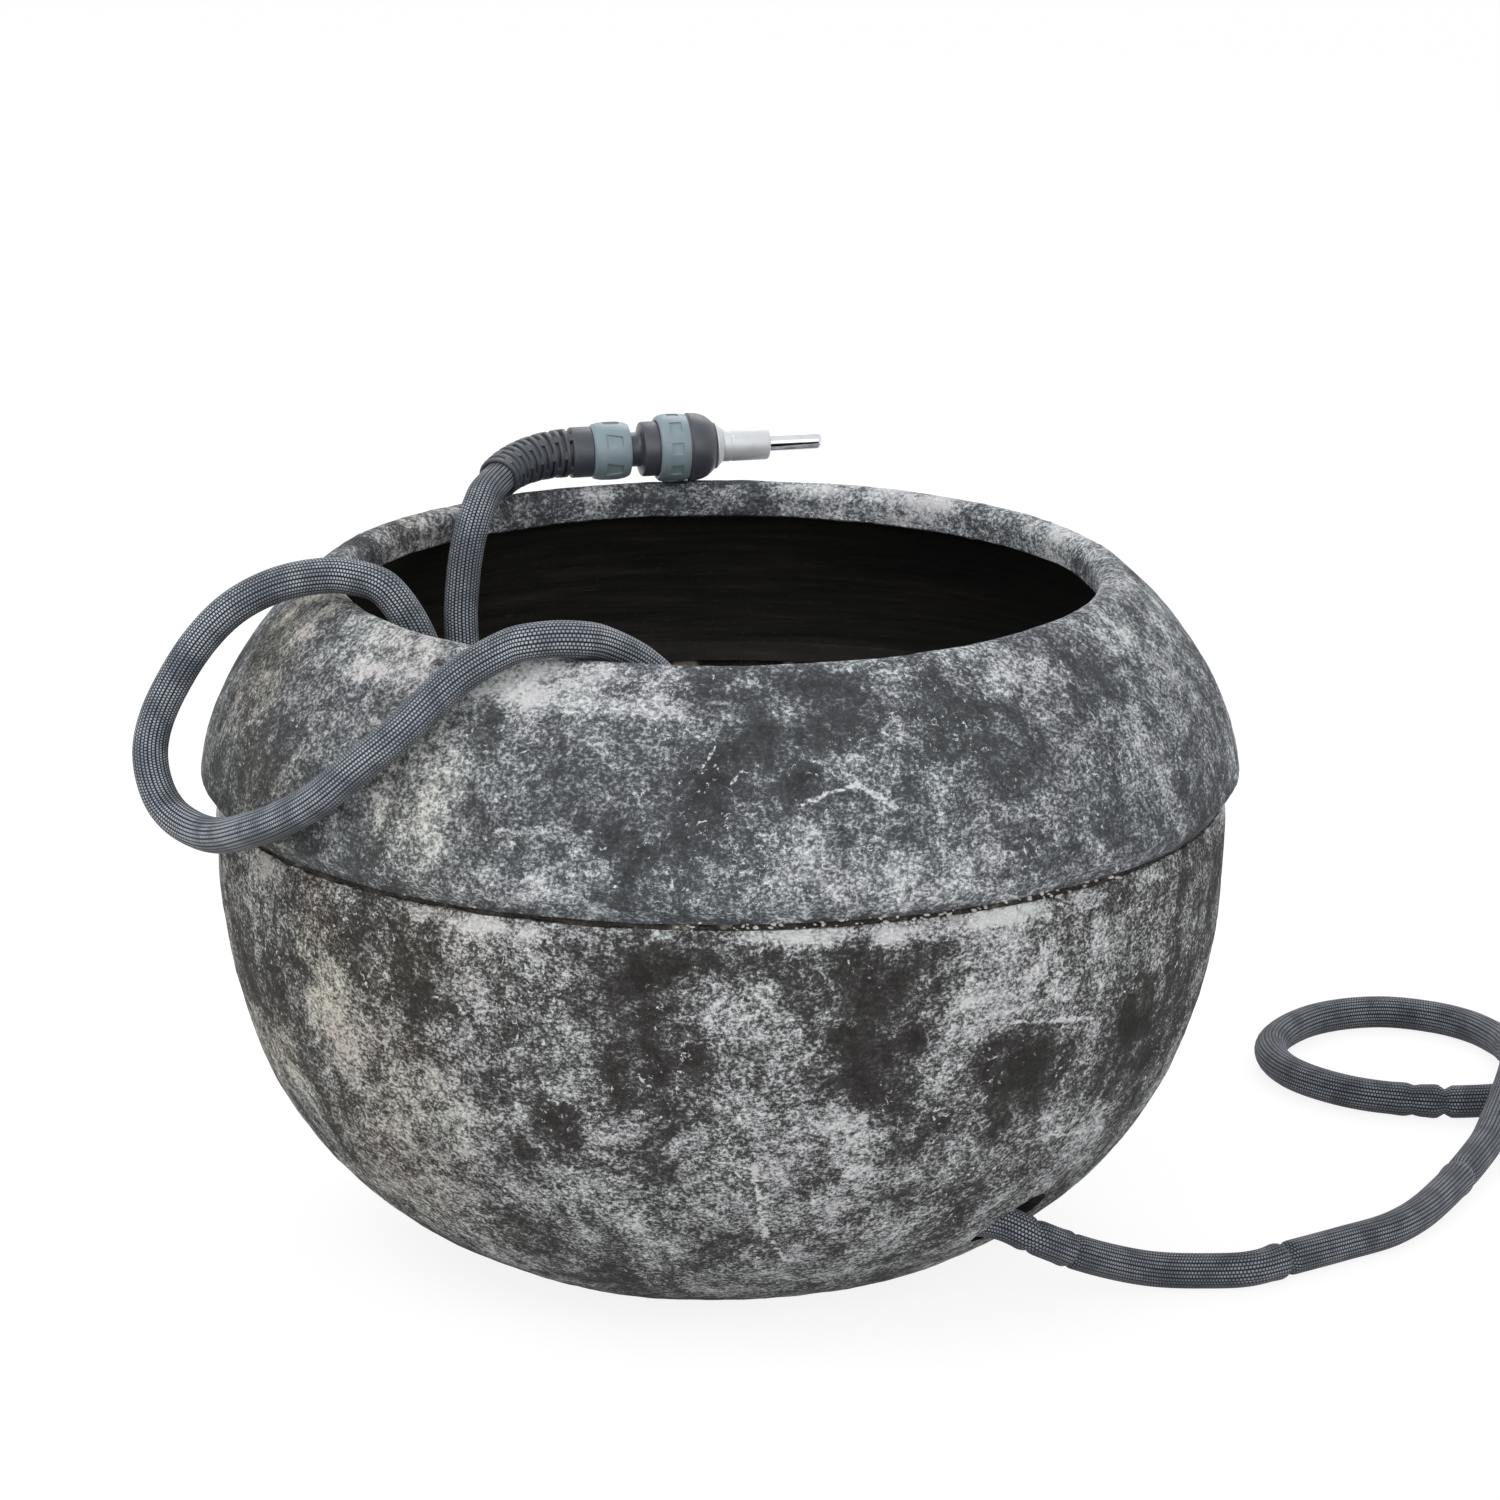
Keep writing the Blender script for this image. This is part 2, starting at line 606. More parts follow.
# %% The cement of the collar
collar_cement = cement(
    "limewashed fibre cement of the collar",
    [
        (0.0, "393A3B"), (0.18, "484A4C"), (0.36, "585B5F"), (0.49, "6D7378"), (0.62, "949A9D"),
        (0.77, "C2C9CD"), (0.96, "F2F4F5"),
    ],
    [
        ((20, -245, 342), 46, -0.22), ((-56, -272, 287), 18, -0.14), ((145, -210, 332), 26, -0.18),
        ((191, -154, 345), 24, -0.18), ((-198, -94, 365), 20, -0.20), ((5, -262, 310), 34, -0.10),
        ((80, -247, 327), 22, 0.20), ((116, -253, 280), 34, 0.18), ((63, -272, 280), 22, 0.10),
        ((-84, -266, 275), 26, 0.28), ((-81, -216, 359), 24, 0.16), ((154, -168, 361), 22, 0.18),
        ((229, -72, 351), 26, 0.16), ((-163, -224, 288), 20, 0.06), ((-223, -120, 336), 28, 0.04),
        ((-130, -230, 310), 24, 0.10),
    ],
    [(369, 9, 0.30), (356, 9, 0.28), (254, 4, -0.30)],
    [
        ((41, -261, 314), (68, -251, 322), 1.9), ((68, -251, 322), (87, -252, 310), 2.2),
        ((-11, -255, 329), (-2, -247, 340), 1.2), ((5, -258, 324), (11, -254, 330), 1.2),
        ((193, -201, 276), (204, -184, 257), 1.8),
    ],
)
print("cement nodes:", len(bowl_cement.node_tree.nodes), len(collar_cement.node_tree.nodes))

# %% [markdown]
# Inside, the pot is bare: dark cement with faint brown streaks that run round it, where the
# mould was brushed out, and damp on the right. The same finish is on the wall of the hole.

# %% Bare cement inside the pot


def bare_cement():
    """Dark unwashed cement with level streaks, and damp on one side."""
    material, tree, shader, _ = start_material(
        "bare brushed cement inside", {"Roughness": 0.8, "Specular IOR Level": 0.3}
    )
    place = add(tree, "TexCoord").outputs["Object"]
    flat = add(tree, "Mapping", {"Vector": place, "Scale": (1, 1, 14)}).outputs[0]
    streaks = noise_at(tree, flat, 12, 5, 0.6)
    speckle = noise_at(tree, place, 260, 3)
    tone = ramp(tree, streaks, [(0.35, "1E1D1C"), (0.55, "2B2A27"), (0.75, "443D35")])
    tone = blend_colours(tree, between(tree, speckle, 0.6, 0.75, 0, 0.5), tone, colour("4C4843"))
    damp = between(tree, add(tree, "SeparateXYZ", {0: place}).outputs["X"], 0.02, 0.16, 0.0, 0.65)
    tone = blend_colours(tree, damp, tone, colour("0E0D0C"))
    tree.links.new(tone, shader.inputs["Base Color"])
    bump(tree, shader, streaks, 0.0012)
    return material


inside_cement = bare_cement()
print("cement inside:", inside_cement.name)

# %% [markdown]
# The mortar deep in the seam is dark with dirt and pale only here and there. The crumbs that
# squeezed out of it stayed white.

# %% Mortar


def mortar_mix(name, stops):
    """Sandy mortar, whose dirt follows the stops of a colour ramp."""
    material, tree, shader, _ = start_material(name, {"Roughness": 0.95})
    place = add(tree, "TexCoord").outputs["Object"]
    dirt = noise_at(tree, place, 60, 4, 0.6)
    sand = noise_at(tree, place, 700, 2)
    tone = ramp(tree, dirt, stops)
    tone = blend_colours(tree, between(tree, sand, 0.5, 0.7, 0, 0.4), tone, colour("6E6860"))
    tree.links.new(tone, shader.inputs["Base Color"])
    bump(tree, shader, sand, 0.0006)
    return material


mortar = mortar_mix("dirty mortar", [(0.45, "1C1917"), (0.58, "38332D"), (0.68, "A39C92")])
lime = mortar_mix("white lime crumbs", [(0.3, "9A9892"), (0.5, "C9C8C4"), (0.7, "E4E4E1")])
print("mortars:", mortar.name, "and", lime.name)

# %% [markdown]
# ## The woven sleeve of the hose
# The hose's sleeve is woven polyester: grey-blue cords run along it, and thin weft rows tie them
# round. It reads as rows of small bright stitches with dark gaps, and every second gap between
# the cords is deeper, which draws thin dark lines along the hose. The pattern reads the tube's
# own map, so it follows every bend. Real rows are about 1.2 mm apart, which is finer than the
# picture can show, so they are drawn 1.7 mm apart. Ground dirt darkens the underside, and all of
# the hose that lies low.

# %% Woven polyester
CORDS_ROUND = 28
ROW_PITCH = 0.0017


def wave(tree, value, per_turn):
    """A row of humps from 0 to 1, one for each unit of the value times per_turn."""
    angle = calculate(tree, "MULTIPLY", value, math.pi * per_turn)
    return calculate(tree, "ABSOLUTE", calculate(tree, "SINE", angle))


def woven_sleeve():
    """Rows of stitches on the tube's own map, with dark gaps, wear and ground dirt."""
    material, tree, shader, _ = start_material(
        "woven polyester sleeve", {"Roughness": 0.7, "Specular IOR Level": 0.35, "Sheen Weight": 0.1}
    )
    uv = add(tree, "UVMap", uv_map="along_the_tube").outputs["UV"]
    parts = add(tree, "SeparateXYZ", {0: uv})
    cords = calculate(tree, "MULTIPLY", parts.outputs["X"], CORDS_ROUND)
    odd = calculate(tree, "MODULO", calculate(tree, "FLOOR", cords), 2.0)
    shift = calculate(tree, "MULTIPLY", odd, 0.5)
    rows = calculate(tree, "MULTIPLY_ADD", parts.outputs["Y"], 1 / ROW_PITCH, shift)
    across = between(tree, wave(tree, cords, 1), 0.25, 0.75)
    along = between(tree, wave(tree, rows, 1), 0.2, 0.8)
    stitch = calculate(tree, "MULTIPLY", across, along)
    place = add(tree, "TexCoord").outputs["Object"]
    worn = between(tree, noise_at(tree, place, 60, 3), 0.35, 0.65)
    light = blend_colours(tree, worn, colour("858F9C"), colour("C1CAD6"))
    tone = blend_colours(tree, stitch, colour("1F2329"), light)
    # every second gap is deep, and the dark line in it fades in and out along the hose
    strength = between(tree, noise_at(tree, place, 35, 2), 0.3, 0.6, 0.6, 1.0)
    groove = calculate(tree, "MULTIPLY", between(tree, wave(tree, cords, 0.5), 0.5, 0.15), strength)
    tone = blend_colours(tree, groove, tone, colour("15171B"))
    # the underside is soiled from the ground
    under = add(tree, "Attribute", attribute_name="underside").outputs["Fac"]
    soiled = between(tree, under, 0.1, 0.95, 0, 0.75)
    tone = blend_colours(tree, soiled, tone, colour("8A837B"), "MULTIPLY")
    # and what lies on the ground is a shade darker all round
    level = add(tree, "SeparateXYZ", {0: place}).outputs["Z"]
    lying = between(tree, level, 0.03, 0.10, 1, 0)
    tone = blend_colours(tree, lying, tone, colour("D2D0D4"), "MULTIPLY")
    tree.links.new(tone, shader.inputs["Base Color"])
    height = calculate(tree, "MULTIPLY_ADD", stitch, 0.5, calculate(tree, "MULTIPLY", groove, -0.6))
    bump(tree, shader, height, 0.0007)
    return material


hose_weave = woven_sleeve()
hose.data.materials.append(hose_weave)
print("cords round the hose:", CORDS_ROUND, "row pitch, mm:", round(ROW_PITCH / MM, 2))

# %% [markdown]
# ## Plastics, rubber and metal of the fittings
# The grey and the black pieces are injection-moulded ABS with a fine spark-eroded texture, which
# gives a soft sheen and no mirror. The guard and the seals are softer rubber. The nozzle's stem
# and barrel have a satin silver lacquer, and the spout is bright chrome.

# %% Moulded and plated finishes


def moulded(name, code, roughness, texture_mm, worn_code=None):
    """A moulded plastic or rubber with a fine texture, and a little dust on it."""
    material, tree, shader, _ = start_material(name, {"IOR": 1.5})
    place = add(tree, "TexCoord").outputs["Object"]
    fine = noise_at(tree, place, 1 / (texture_mm * MM), 2)
    dust = noise_at(tree, place, 90, 5, 0.7)
    second = colour(worn_code or code)
    tone = blend_colours(tree, between(tree, dust, 0.48, 0.72), colour(code), second)
    tree.links.new(tone, shader.inputs["Base Color"])
    tree.links.new(
        between(tree, dust, 0.3, 0.7, roughness - 0.06, roughness + 0.08), shader.inputs["Roughness"]
    )
    bump(tree, shader, fine, 0.00012)
    return material


def plated(name, code, roughness, marks_mm, metallic=1.0):
    """Plated or lacquered metal, handled enough to vary a little in colour and gloss."""
    material, tree, shader, _ = start_material(name, {"Metallic": metallic})
    place = add(tree, "TexCoord").outputs["Object"]
    marks = noise_at(tree, place, 1 / (marks_mm * MM), 3)
    share = between(tree, marks, 0.35, 0.65, 0.0, 0.3)
    tone = blend_colours(tree, share, colour(code), colour("F0F1F2"))
    tree.links.new(tone, shader.inputs["Base Color"])
    gloss = between(tree, marks, 0.3, 0.7, roughness, roughness * 1.2 + 0.01)
    tree.links.new(gloss, shader.inputs["Roughness"])
    return material


grey_abs = moulded("blue-grey ABS", "8D9FA7", 0.36, 0.5, worn_code="99A9B0")
black_abs = moulded("black ABS", "4B4E57", 0.34, 0.5, worn_code="565A61")
guard_rubber = moulded("black thermoplastic rubber", "4A4E55", 0.4, 0.6, worn_code="565A61")
seal_rubber = moulded("black nitrile rubber", "151617", 0.6, 0.4)
satin_lacquer = plated("satin silver lacquer", "DBDEE1", 0.42, 8, 0.25)
bright_plate = plated("bright chrome plate", "D5D9DE", 0.12, 8)
spring_wire = plated("drawn stainless wire", "B5B8BC", 0.25, 3)
print("materials so far:", len(bpy.data.materials))

# %% [markdown]
# ## Turning pieces
# Nearly every piece here was turned or moulded round an axis. So each is drawn as an outline,
# point by point with extrude, and swept once round with spin. A bevel then breaks its edges as a
# mould does. For that there are a few helpers, which are what a modeller does by hand: add,
# extrude, spin, merge, and put normals right.

# %% Helpers for modelling


def only(piece):
    """Selects one piece alone and makes it the active one."""
    bpy.ops.object.select_all(action="DESELECT")
    piece.select_set(True)
    bpy.context.view_layer.objects.active = piece


def new_piece(name):
    """Names what an operator has just added."""
    piece = bpy.context.view_layer.objects.active
    piece.name = piece.data.name = name
    return piece


def drawn(name, outline):
    """An outline in the xz plane, from (x, z) points in millimetres."""
    bpy.ops.object.select_all(action="DESELECT")
    bpy.ops.mesh.primitive_plane_add(size=MM)
    piece = new_piece(name)
    bpy.ops.object.mode_set(mode="EDIT")
    bpy.ops.mesh.merge(type="CENTER")
    here = Vector((0, 0, 0))
    for i, (x, z) in enumerate(outline):
        there = Vector((x, 0, z)) * MM
        if i == 0:
            bpy.ops.transform.translate(value=there - here)
        else:
            bpy.ops.mesh.extrude_region_move(TRANSFORM_OT_translate={"value": there - here})
        here = there
    bpy.ops.object.mode_set(mode="OBJECT")
    return piece


def spun(piece, axis, steps):
    """Sweeps an outline round an axis through the centre and closes the result."""
    only(piece)
    bpy.ops.object.mode_set(mode="EDIT")
    bpy.ops.mesh.select_all(action="SELECT")
    bpy.ops.mesh.spin(steps=steps, angle=math.tau, center=(0, 0, 0), axis=axis)
    bpy.ops.mesh.select_all(action="SELECT")
    bpy.ops.mesh.remove_doubles(threshold=0.00001)
    bpy.ops.mesh.normals_make_consistent(inside=False)
    bpy.ops.object.mode_set(mode="OBJECT")
    return piece


def apply_modifier(piece, kind, **settings):
    """Adds a modifier, sets it and applies it."""
    only(piece)
    made = piece.modifiers.new(kind.lower(), kind)
    for name, value in settings.items():
        setattr(made, name, value)
    bpy.ops.object.modifier_apply(modifier=made.name)


def finish_piece(piece, material, place=None, smooth=35):
    """Sets the piece in place, gives it its material and smooths what isn't an edge."""
    only(piece)
    if place is not None:
        piece.matrix_world = place @ piece.matrix_world
    bpy.ops.object.transform_apply(location=True, rotation=True, scale=True)
    if material is not None:
        piece.data.materials.clear()
        piece.data.materials.append(material)
    bpy.ops.object.shade_smooth_by_angle(angle=math.radians(smooth))
    return piece


def turned(name, outline, bevel=0.3, steps=80):
    """A piece turned about x from a closed outline of (x, radius) points."""
    piece = spun(drawn(name, outline + outline[:1]), (1, 0, 0), steps)
    if bevel:
        apply_modifier(
            piece, "BEVEL", width=bevel * MM, segments=2, limit_method="ANGLE",
            angle_limit=math.radians(25),
        )
    return piece


def cut(piece, cutter):
    """Takes the cutter's shape out of the piece."""
    apply_modifier(piece, "BOOLEAN", operation="DIFFERENCE", solver="EXACT", object=cutter)
    bpy.data.objects.remove(cutter, do_unlink=True)


def join(pieces):
    """Joins pieces into the first."""
    bpy.ops.object.select_all(action="DESELECT")
    for piece in pieces:
        piece.select_set(True)
    bpy.context.view_layer.objects.active = pieces[0]
    bpy.ops.object.join()
    return pieces[0]


def arc(middle_x, middle_z, radius, first, last, count):
    """Points of an arc, by its centre, radius and angles in degrees."""
    angles = [math.radians(first + (last - first) * i / count) for i in range(count + 1)]
    return [(middle_x + radius * math.cos(a), middle_z + radius * math.sin(a)) for a in angles]


# %% [markdown]
# ## The bowl
# The bowl was cast in a mould, so it is one thick shell: a fuller curve than an ellipse outside,
# and the same curve pushed in by the wall's thickness inside. The outline is drawn from that
# rule, swept round, and then made uneven by two displacements, one for the broad unevenness of a
# hand-laid casting and one for its rough skin. That way the edges and the outline are rough too,
# and not only the shading.

# %% Bowl outline
bowl_drop = SEAM_Z / (1 - (FOOT_R / BOWL_R) ** BOWL_POWER) ** (1 / BOWL_POWER)
first_angle = math.asin(((SEAM_Z - BOWL_TOP) / bowl_drop) ** (BOWL_POWER / 2))
last_angle = math.acos((FOOT_R / BOWL_R) ** (BOWL_POWER / 2))


def bowl_skin(angle):
    """Radius and height of the bowl's outside, and its outward direction."""
    c, s = math.cos(angle), math.sin(angle)
    place = Vector((BOWL_R * c ** (2 / BOWL_POWER), SEAM_Z - bowl_drop * s ** (2 / BOWL_POWER)))
    out = Vector((c ** (2 - 2 / BOWL_POWER) / BOWL_R, -(s ** (2 - 2 / BOWL_POWER)) / bowl_drop))
    return place, out.normalized()


BOWL_ROWS = 60
outside = []
inside = []
for i in range(BOWL_ROWS + 1):
    place, out = bowl_skin(last_angle + (first_angle - last_angle) * i / BOWL_ROWS)
    outside.append(tuple(place))
    lining = place - WALL * out
    if lining.y > FLOOR + 1:
        inside.append(tuple(lining))
foot = [(FOOT_R * i / 10, 0) for i in range(10)]
floor_r = inside[0][0] - 4
bowl_floor = [(floor_r * i / 8, FLOOR) for i in range(8, -1, -1)]
top_edge = [(BOWL_R - 2, BOWL_TOP), (BOWL_R - WALL / 2, BOWL_TOP), (BOWL_R - WALL + 2, BOWL_TOP)]
bowl_outline = foot + outside[:-1] + top_edge + inside[::-1][1:] + bowl_floor
print("bowl outline points:", len(bowl_outline))

# %% [markdown]
# The faces of the spun shell are up to a centimetre wide, so it is cut up once more before noise
# pushes it about. The limewash stops at the lip: what looks into the pot is bare cement, so those
# faces get a second finish.

# %% Bowl casting
POT_STEPS = 176
FLOOR_REACH = 240


def rough_casting(piece, broad, fine):
    """Makes a smooth shell uneven: broad and fine are depths in millimetres."""
    apply_modifier(piece, "SUBSURF", subdivision_type="SIMPLE", levels=1, render_levels=1)
    for label, size, depth in (("broad", 0.075, broad), ("skin", 0.011, fine)):
        texture = bpy.data.textures.new(label, "CLOUDS")
        texture.noise_scale = size
        texture.noise_depth = 2
        apply_modifier(
            piece, "DISPLACE", texture=texture, texture_coords="LOCAL", mid_level=0.5,
            strength=depth * MM,
        )


def inside_faces(piece, is_inside):
    """Gives the faces that look into the pot the second material."""
    for face in piece.data.polygons:
        radius = math.hypot(face.center.x, face.center.y)
        outward = (face.center.x * face.normal.x + face.center.y * face.normal.y) / max(radius, MM)
        if is_inside(radius / MM, face.center.z / MM, outward, face.normal.z):
            face.material_index = 1


bowl = spun(drawn("bowl_casting", bowl_outline), (0, 0, 1), POT_STEPS)
rough_casting(bowl, 2.2, 0.9)
for vertex in bowl.data.vertices:
    vertex.co.z = max(vertex.co.z, 0.0)
finish_piece(bowl, bowl_cement)
bowl.data.materials.append(inside_cement)


def looks_into_bowl(radius, z, outward, up):
    """The wall inside looks at the axis, and the floor looks up."""
    return z > FLOOR - 2 and (outward < -0.05 or (up > 0.8 and radius < FLOOR_REACH))


inside_faces(bowl, looks_into_bowl)
print("bowl faces:", len(bowl.data.polygons))

# %% [markdown]
# The hole for the hose was broken through the soft cement and left rough. A cylinder with an
# uneven side is taken out of the wall, on the line that the hose follows.

# %% The hole for the hose
HOLE_D = 27
HOLE_Z = 54.5
HOLE_AZIMUTH = -43
HOLE_SKEW = 38
DRILL_L = 180


def uneven_side(piece, from_radius, broad, broad_scale, fine, fine_scale):
    """Pushes a round piece's side in and out by two sizes of noise, with depths in mm."""
    for vertex in piece.data.vertices:
        radius = math.hypot(vertex.co.x, vertex.co.y)
        if radius > from_radius * MM:
            push = broad * noise.noise(vertex.co * broad_scale)
            push += fine * noise.noise(vertex.co * fine_scale)
            vertex.co += Vector((vertex.co.x, vertex.co.y, 0)) / radius * push * MM


below = max(p for p in outside if p[1] <= HOLE_Z)
above = min(p for p in outside if p[1] > HOLE_Z)
hole_r = below[0] + (above[0] - below[0]) * (HOLE_Z - below[1]) / (above[1] - below[1])

bpy.ops.object.select_all(action="DESELECT")
bpy.ops.mesh.primitive_cylinder_add(vertices=48, radius=HOLE_D / 2 * MM, depth=DRILL_L * MM)
drill = new_piece("drill")
bpy.ops.object.mode_set(mode="EDIT")
bpy.ops.mesh.select_all(action="SELECT")
bpy.ops.mesh.subdivide(number_cuts=5)
bpy.ops.object.mode_set(mode="OBJECT")
uneven_side(drill, 10, 1.6, 120, 1.0, 420)
turned_to = Matrix.Rotation(math.radians(HOLE_AZIMUTH + HOLE_SKEW), 4, "Z")
azimuth = math.radians(HOLE_AZIMUTH)
drill_at = Vector((math.cos(azimuth), math.sin(azimuth), 0)) * hole_r
drill_at.z = HOLE_Z
drill.matrix_world = (
    Matrix.Translation(drill_at * MM) @ turned_to @ Matrix.Rotation(math.radians(90), 4, "Y")
)
drill.data.materials.append(inside_cement)
cut(bowl, drill)
print("bowl faces with the hole:", len(bowl.data.polygons))

# %% [markdown]
# ## The collar
# The collar is the second casting: a low dome with a rolled lip. Its outside is an ellipse that
# runs into the lip's rounding. The ellipse's middle lies a little below the lower corner, so the
# corner is crisp. Under it a bevel runs back to the bowl and throws the dark line over the seam.

# %% Collar casting
LIP_START = 53
corner_z = SEAM_Z + BEVEL_H
lip_r, lip_z = arc(RIM_R, RIM_Z - LIP_ROUND, LIP_ROUND, LIP_START, LIP_START, 1)[0]
DOME_DROP = 14
dome_z = corner_z - DOME_DROP
rise = lip_z - dome_z
across = (COLLAR_R * rise) ** 2 - (lip_r * DOME_DROP) ** 2
dome_r = math.sqrt(across / (rise ** 2 - DOME_DROP ** 2))
dome_h = math.sqrt(across / (COLLAR_R ** 2 - lip_r ** 2))
lip_low = RIM_Z - LIP_DEPTH
mouth_r = RIM_R - LIP_ROUND
print("dome's half width and height:", round(dome_r, 1), round(dome_h, 1))


def dome(semi_r, semi_h, top, count):
    """Points of the dome's ellipse from the corner up to a height."""
    first = math.asin(DOME_DROP / semi_h)
    last = math.asin((top - dome_z) / semi_h)
    angles = [first + (last - first) * i / count for i in range(count + 1)]
    return [(semi_r * math.cos(a), dome_z + semi_h * math.sin(a)) for a in angles]


bevel = [(BOWL_R + (COLLAR_R - BOWL_R) * i / 3, SEAM_Z + BEVEL_H * i / 3) for i in range(3)]
lip = arc(RIM_R, RIM_Z - LIP_ROUND, LIP_ROUND, LIP_START, 180, 12)
lip_inner = [(mouth_r, RIM_Z - LIP_ROUND - 4), (mouth_r + 1, lip_low + 2), (mouth_r + 4, lip_low)]
collar_inside = dome(dome_r - WALL, dome_h - WALL, lip_low, 20)[::-1]
under = [(BOWL_R - WALL, SEAM_Z), (BOWL_R - WALL / 2, SEAM_Z), (BOWL_R, SEAM_Z)]
collar_outline = bevel + dome(dome_r, dome_h, lip_z, 30)[:-1] + lip + lip_inner + collar_inside + under

collar = spun(drawn("collar_casting", collar_outline), (0, 0, 1), POT_STEPS)
rough_casting(collar, 2.0, 0.8)
finish_piece(collar, collar_cement)
collar.data.materials.append(inside_cement)
inside_faces(collar, lambda r, z, outward, up: z < lip_low + 1 and outward < -0.05)
print("collar faces:", len(collar.data.polygons))

# %% [markdown]
# ## The mortar in the seam
# The two castings were bedded on mortar, which lies a little back from the face. It squeezed out
# unevenly, so its ring is pushed about by noise, and along the right front it left crumbs that
# stuck to the edge.

# %% Mortar bed and crumbs
MORTAR_BACK = 3
BED_STEPS = 420
CRUMBS = 70
CRUMB_ROUGH = 0.5
CRUMB_SEED = 7
bed_r = BOWL_R - MORTAR_BACK
bed_outline = [
    (bed_r - 12, BOWL_TOP + 0.2), (bed_r - 4, BOWL_TOP + 0.2), (bed_r, BOWL_TOP + 0.2),
    (bed_r + 0.6, (BOWL_TOP + SEAM_Z) / 2), (bed_r, SEAM_Z - 0.2), (bed_r - 4, SEAM_Z - 0.2),
    (bed_r - 12, SEAM_Z - 0.2),
]
bed = spun(drawn("mortar_joint", bed_outline + bed_outline[:1]), (0, 0, 1), BED_STEPS)
uneven_side(bed, bed_r - 6, 2.4, 55, 1.2, 210)
finish_piece(bed, mortar, smooth=60)

bpy.ops.object.select_all(action="DESELECT")
bpy.ops.mesh.primitive_ico_sphere_add(subdivisions=2, radius=0.5 * MM)
grit = new_piece("grit")
crumbs = []
# without a seed, vector noise starts from the clock and every run gets other crumbs
noise.seed_set(CRUMB_SEED)
for i in range(CRUMBS):
    wobble = noise.noise_vector(Vector((i * 1.7, 3.1, 0.4)))
    angle = math.radians(-94 + 52 * i / CRUMBS + 5 * wobble.x)
    size = 1.5 + 3.0 * abs(wobble.y)
    height = SEAM_Z - 1 + 4 * wobble.z
    radius = BOWL_R + 0.3 + max(0, height - SEAM_Z) * 0.7
    crumb = grit.copy()
    crumb.data = grit.data.copy()
    bpy.context.scene.collection.objects.link(crumb)
    crumb.matrix_world = (
        Matrix.Translation(Vector((math.cos(angle) * radius, math.sin(angle) * radius, height)) * MM)
        @ Matrix.Rotation(angle + i, 4, "Z")
        @ Matrix.Diagonal((size * 0.7, size * (0.8 + 1.2 * abs(wobble.x)), size * 0.55, 1))
    )
    crumbs.append(crumb)
bpy.data.objects.remove(grit, do_unlink=True)
mortar_crumbs = join(crumbs)
mortar_crumbs.name = mortar_crumbs.data.name = "mortar_crumbs"
for vertex in mortar_crumbs.data.vertices:
    vertex.co += noise.noise_vector(vertex.co * 700) * (CRUMB_ROUGH * MM)
finish_piece(mortar_crumbs, lime)
print("mortar faces:", len(bed.data.polygons), "crumbs:", CRUMBS)

# %% [markdown]
# ## The clamp nut
# The nut squeezes the hose on the barb. It is barrel-shaped, and its grip is a ring of
# pockets that narrow towards the nozzle. They are cut with four-sided prisms set round it.

# %% Clamp nut
NUT_X = -38
NUT_END = -16.5
NUT_R = 16.5
HOSE_SLOT_R = 9.7
NUT_BORE_R = 13.9
NUT_POCKETS = 6


def around(count, make, **sizes):
    """Makes a cutter for each place round the x axis and joins them."""
    made = []
    for i in range(count):
        piece = make(**sizes)
        piece.matrix_world = Matrix.Rotation(math.tau * i / count, 4, "X") @ piece.matrix_world
        made.append(piece)
    return join(made)


def prism(x, radius, vertices, size, depth, stretch=(1, 1), turn=0, taper=1):
    """A prism that stands on the piece's side at x, with its axis outwards."""
    bpy.ops.object.select_all(action="DESELECT")
    bpy.ops.mesh.primitive_cylinder_add(vertices=vertices, radius=size * MM, depth=depth * MM)
    piece = new_piece("cutter")
    piece.matrix_world = (
        Matrix.Translation((x * MM, 0, radius * MM))
        @ Matrix.Diagonal((*stretch, 1, 1))
        @ Matrix.Rotation(math.radians(turn), 4, "Z")
    )
    bpy.ops.object.transform_apply(location=True, rotation=True, scale=True)
    for vertex in piece.data.vertices:
        if vertex.co.x > x * MM:
            vertex.co.y *= taper
    return piece


def make_nut(prefix, place):
    """The nut with its pockets, set in its place."""
    nut = turned(
        prefix + "clamp_nut_moulding",
        [
            (NUT_X, HOSE_SLOT_R), (NUT_X, NUT_R - 2.2), (NUT_X + 1.5, NUT_R - 0.9),
            (NUT_X + 5, NUT_R - 0.2), (NUT_X + 10, NUT_R), (NUT_X + 15, NUT_R - 0.1),
            (NUT_END - 2.5, NUT_R - 0.7), (NUT_END, NUT_R - 1.8), (NUT_END, NUT_BORE_R),
            (NUT_X + 4, NUT_BORE_R), (NUT_X + 4, HOSE_SLOT_R),
        ],
    )
    pocket = {"vertices": 4, "size": 6.6, "depth": 3.0, "stretch": (1.1, 0.95), "turn": 45}
    cut(nut, around(NUT_POCKETS, prism, x=NUT_X + 11.5, radius=NUT_R, taper=0.6, **pocket))
    return finish_piece(nut, grey_abs, place)


nozzle_nut = make_nut("", on_nozzle)
tap_nut = make_nut("tap_", on_tap)
print("nut faces:", len(nozzle_nut.data.polygons))

# %% [markdown]
# ## The coupling body
# One black moulding holds the barb for the hose, the thread for the nut, a neck, the cup that
# the spring stands in, and the socket for the plug. Three slots in the socket let the lock
# claws through.

# %% Coupling body
BARB_R = HOSE_BORE / 2 - 0.05
WATER_R = 4.5
SKIRT_X = -33.6
SKIRT_R = 13.6
NECK_R = 9.75
CUP_X = -9.5
CUP_L = 14.5
CUP_R = 13.35
CUP_OUT = 15.55
SOCKET_FLOOR = -3.5
SOCKET_R = 8.1
SOCKET_OUT = 10.6
SOCKET_END = 24.75
CLAW_X = 15.25
CLAW_L = 4
CLAWS = 3
BARBS = 5
BARB_PITCH = 4


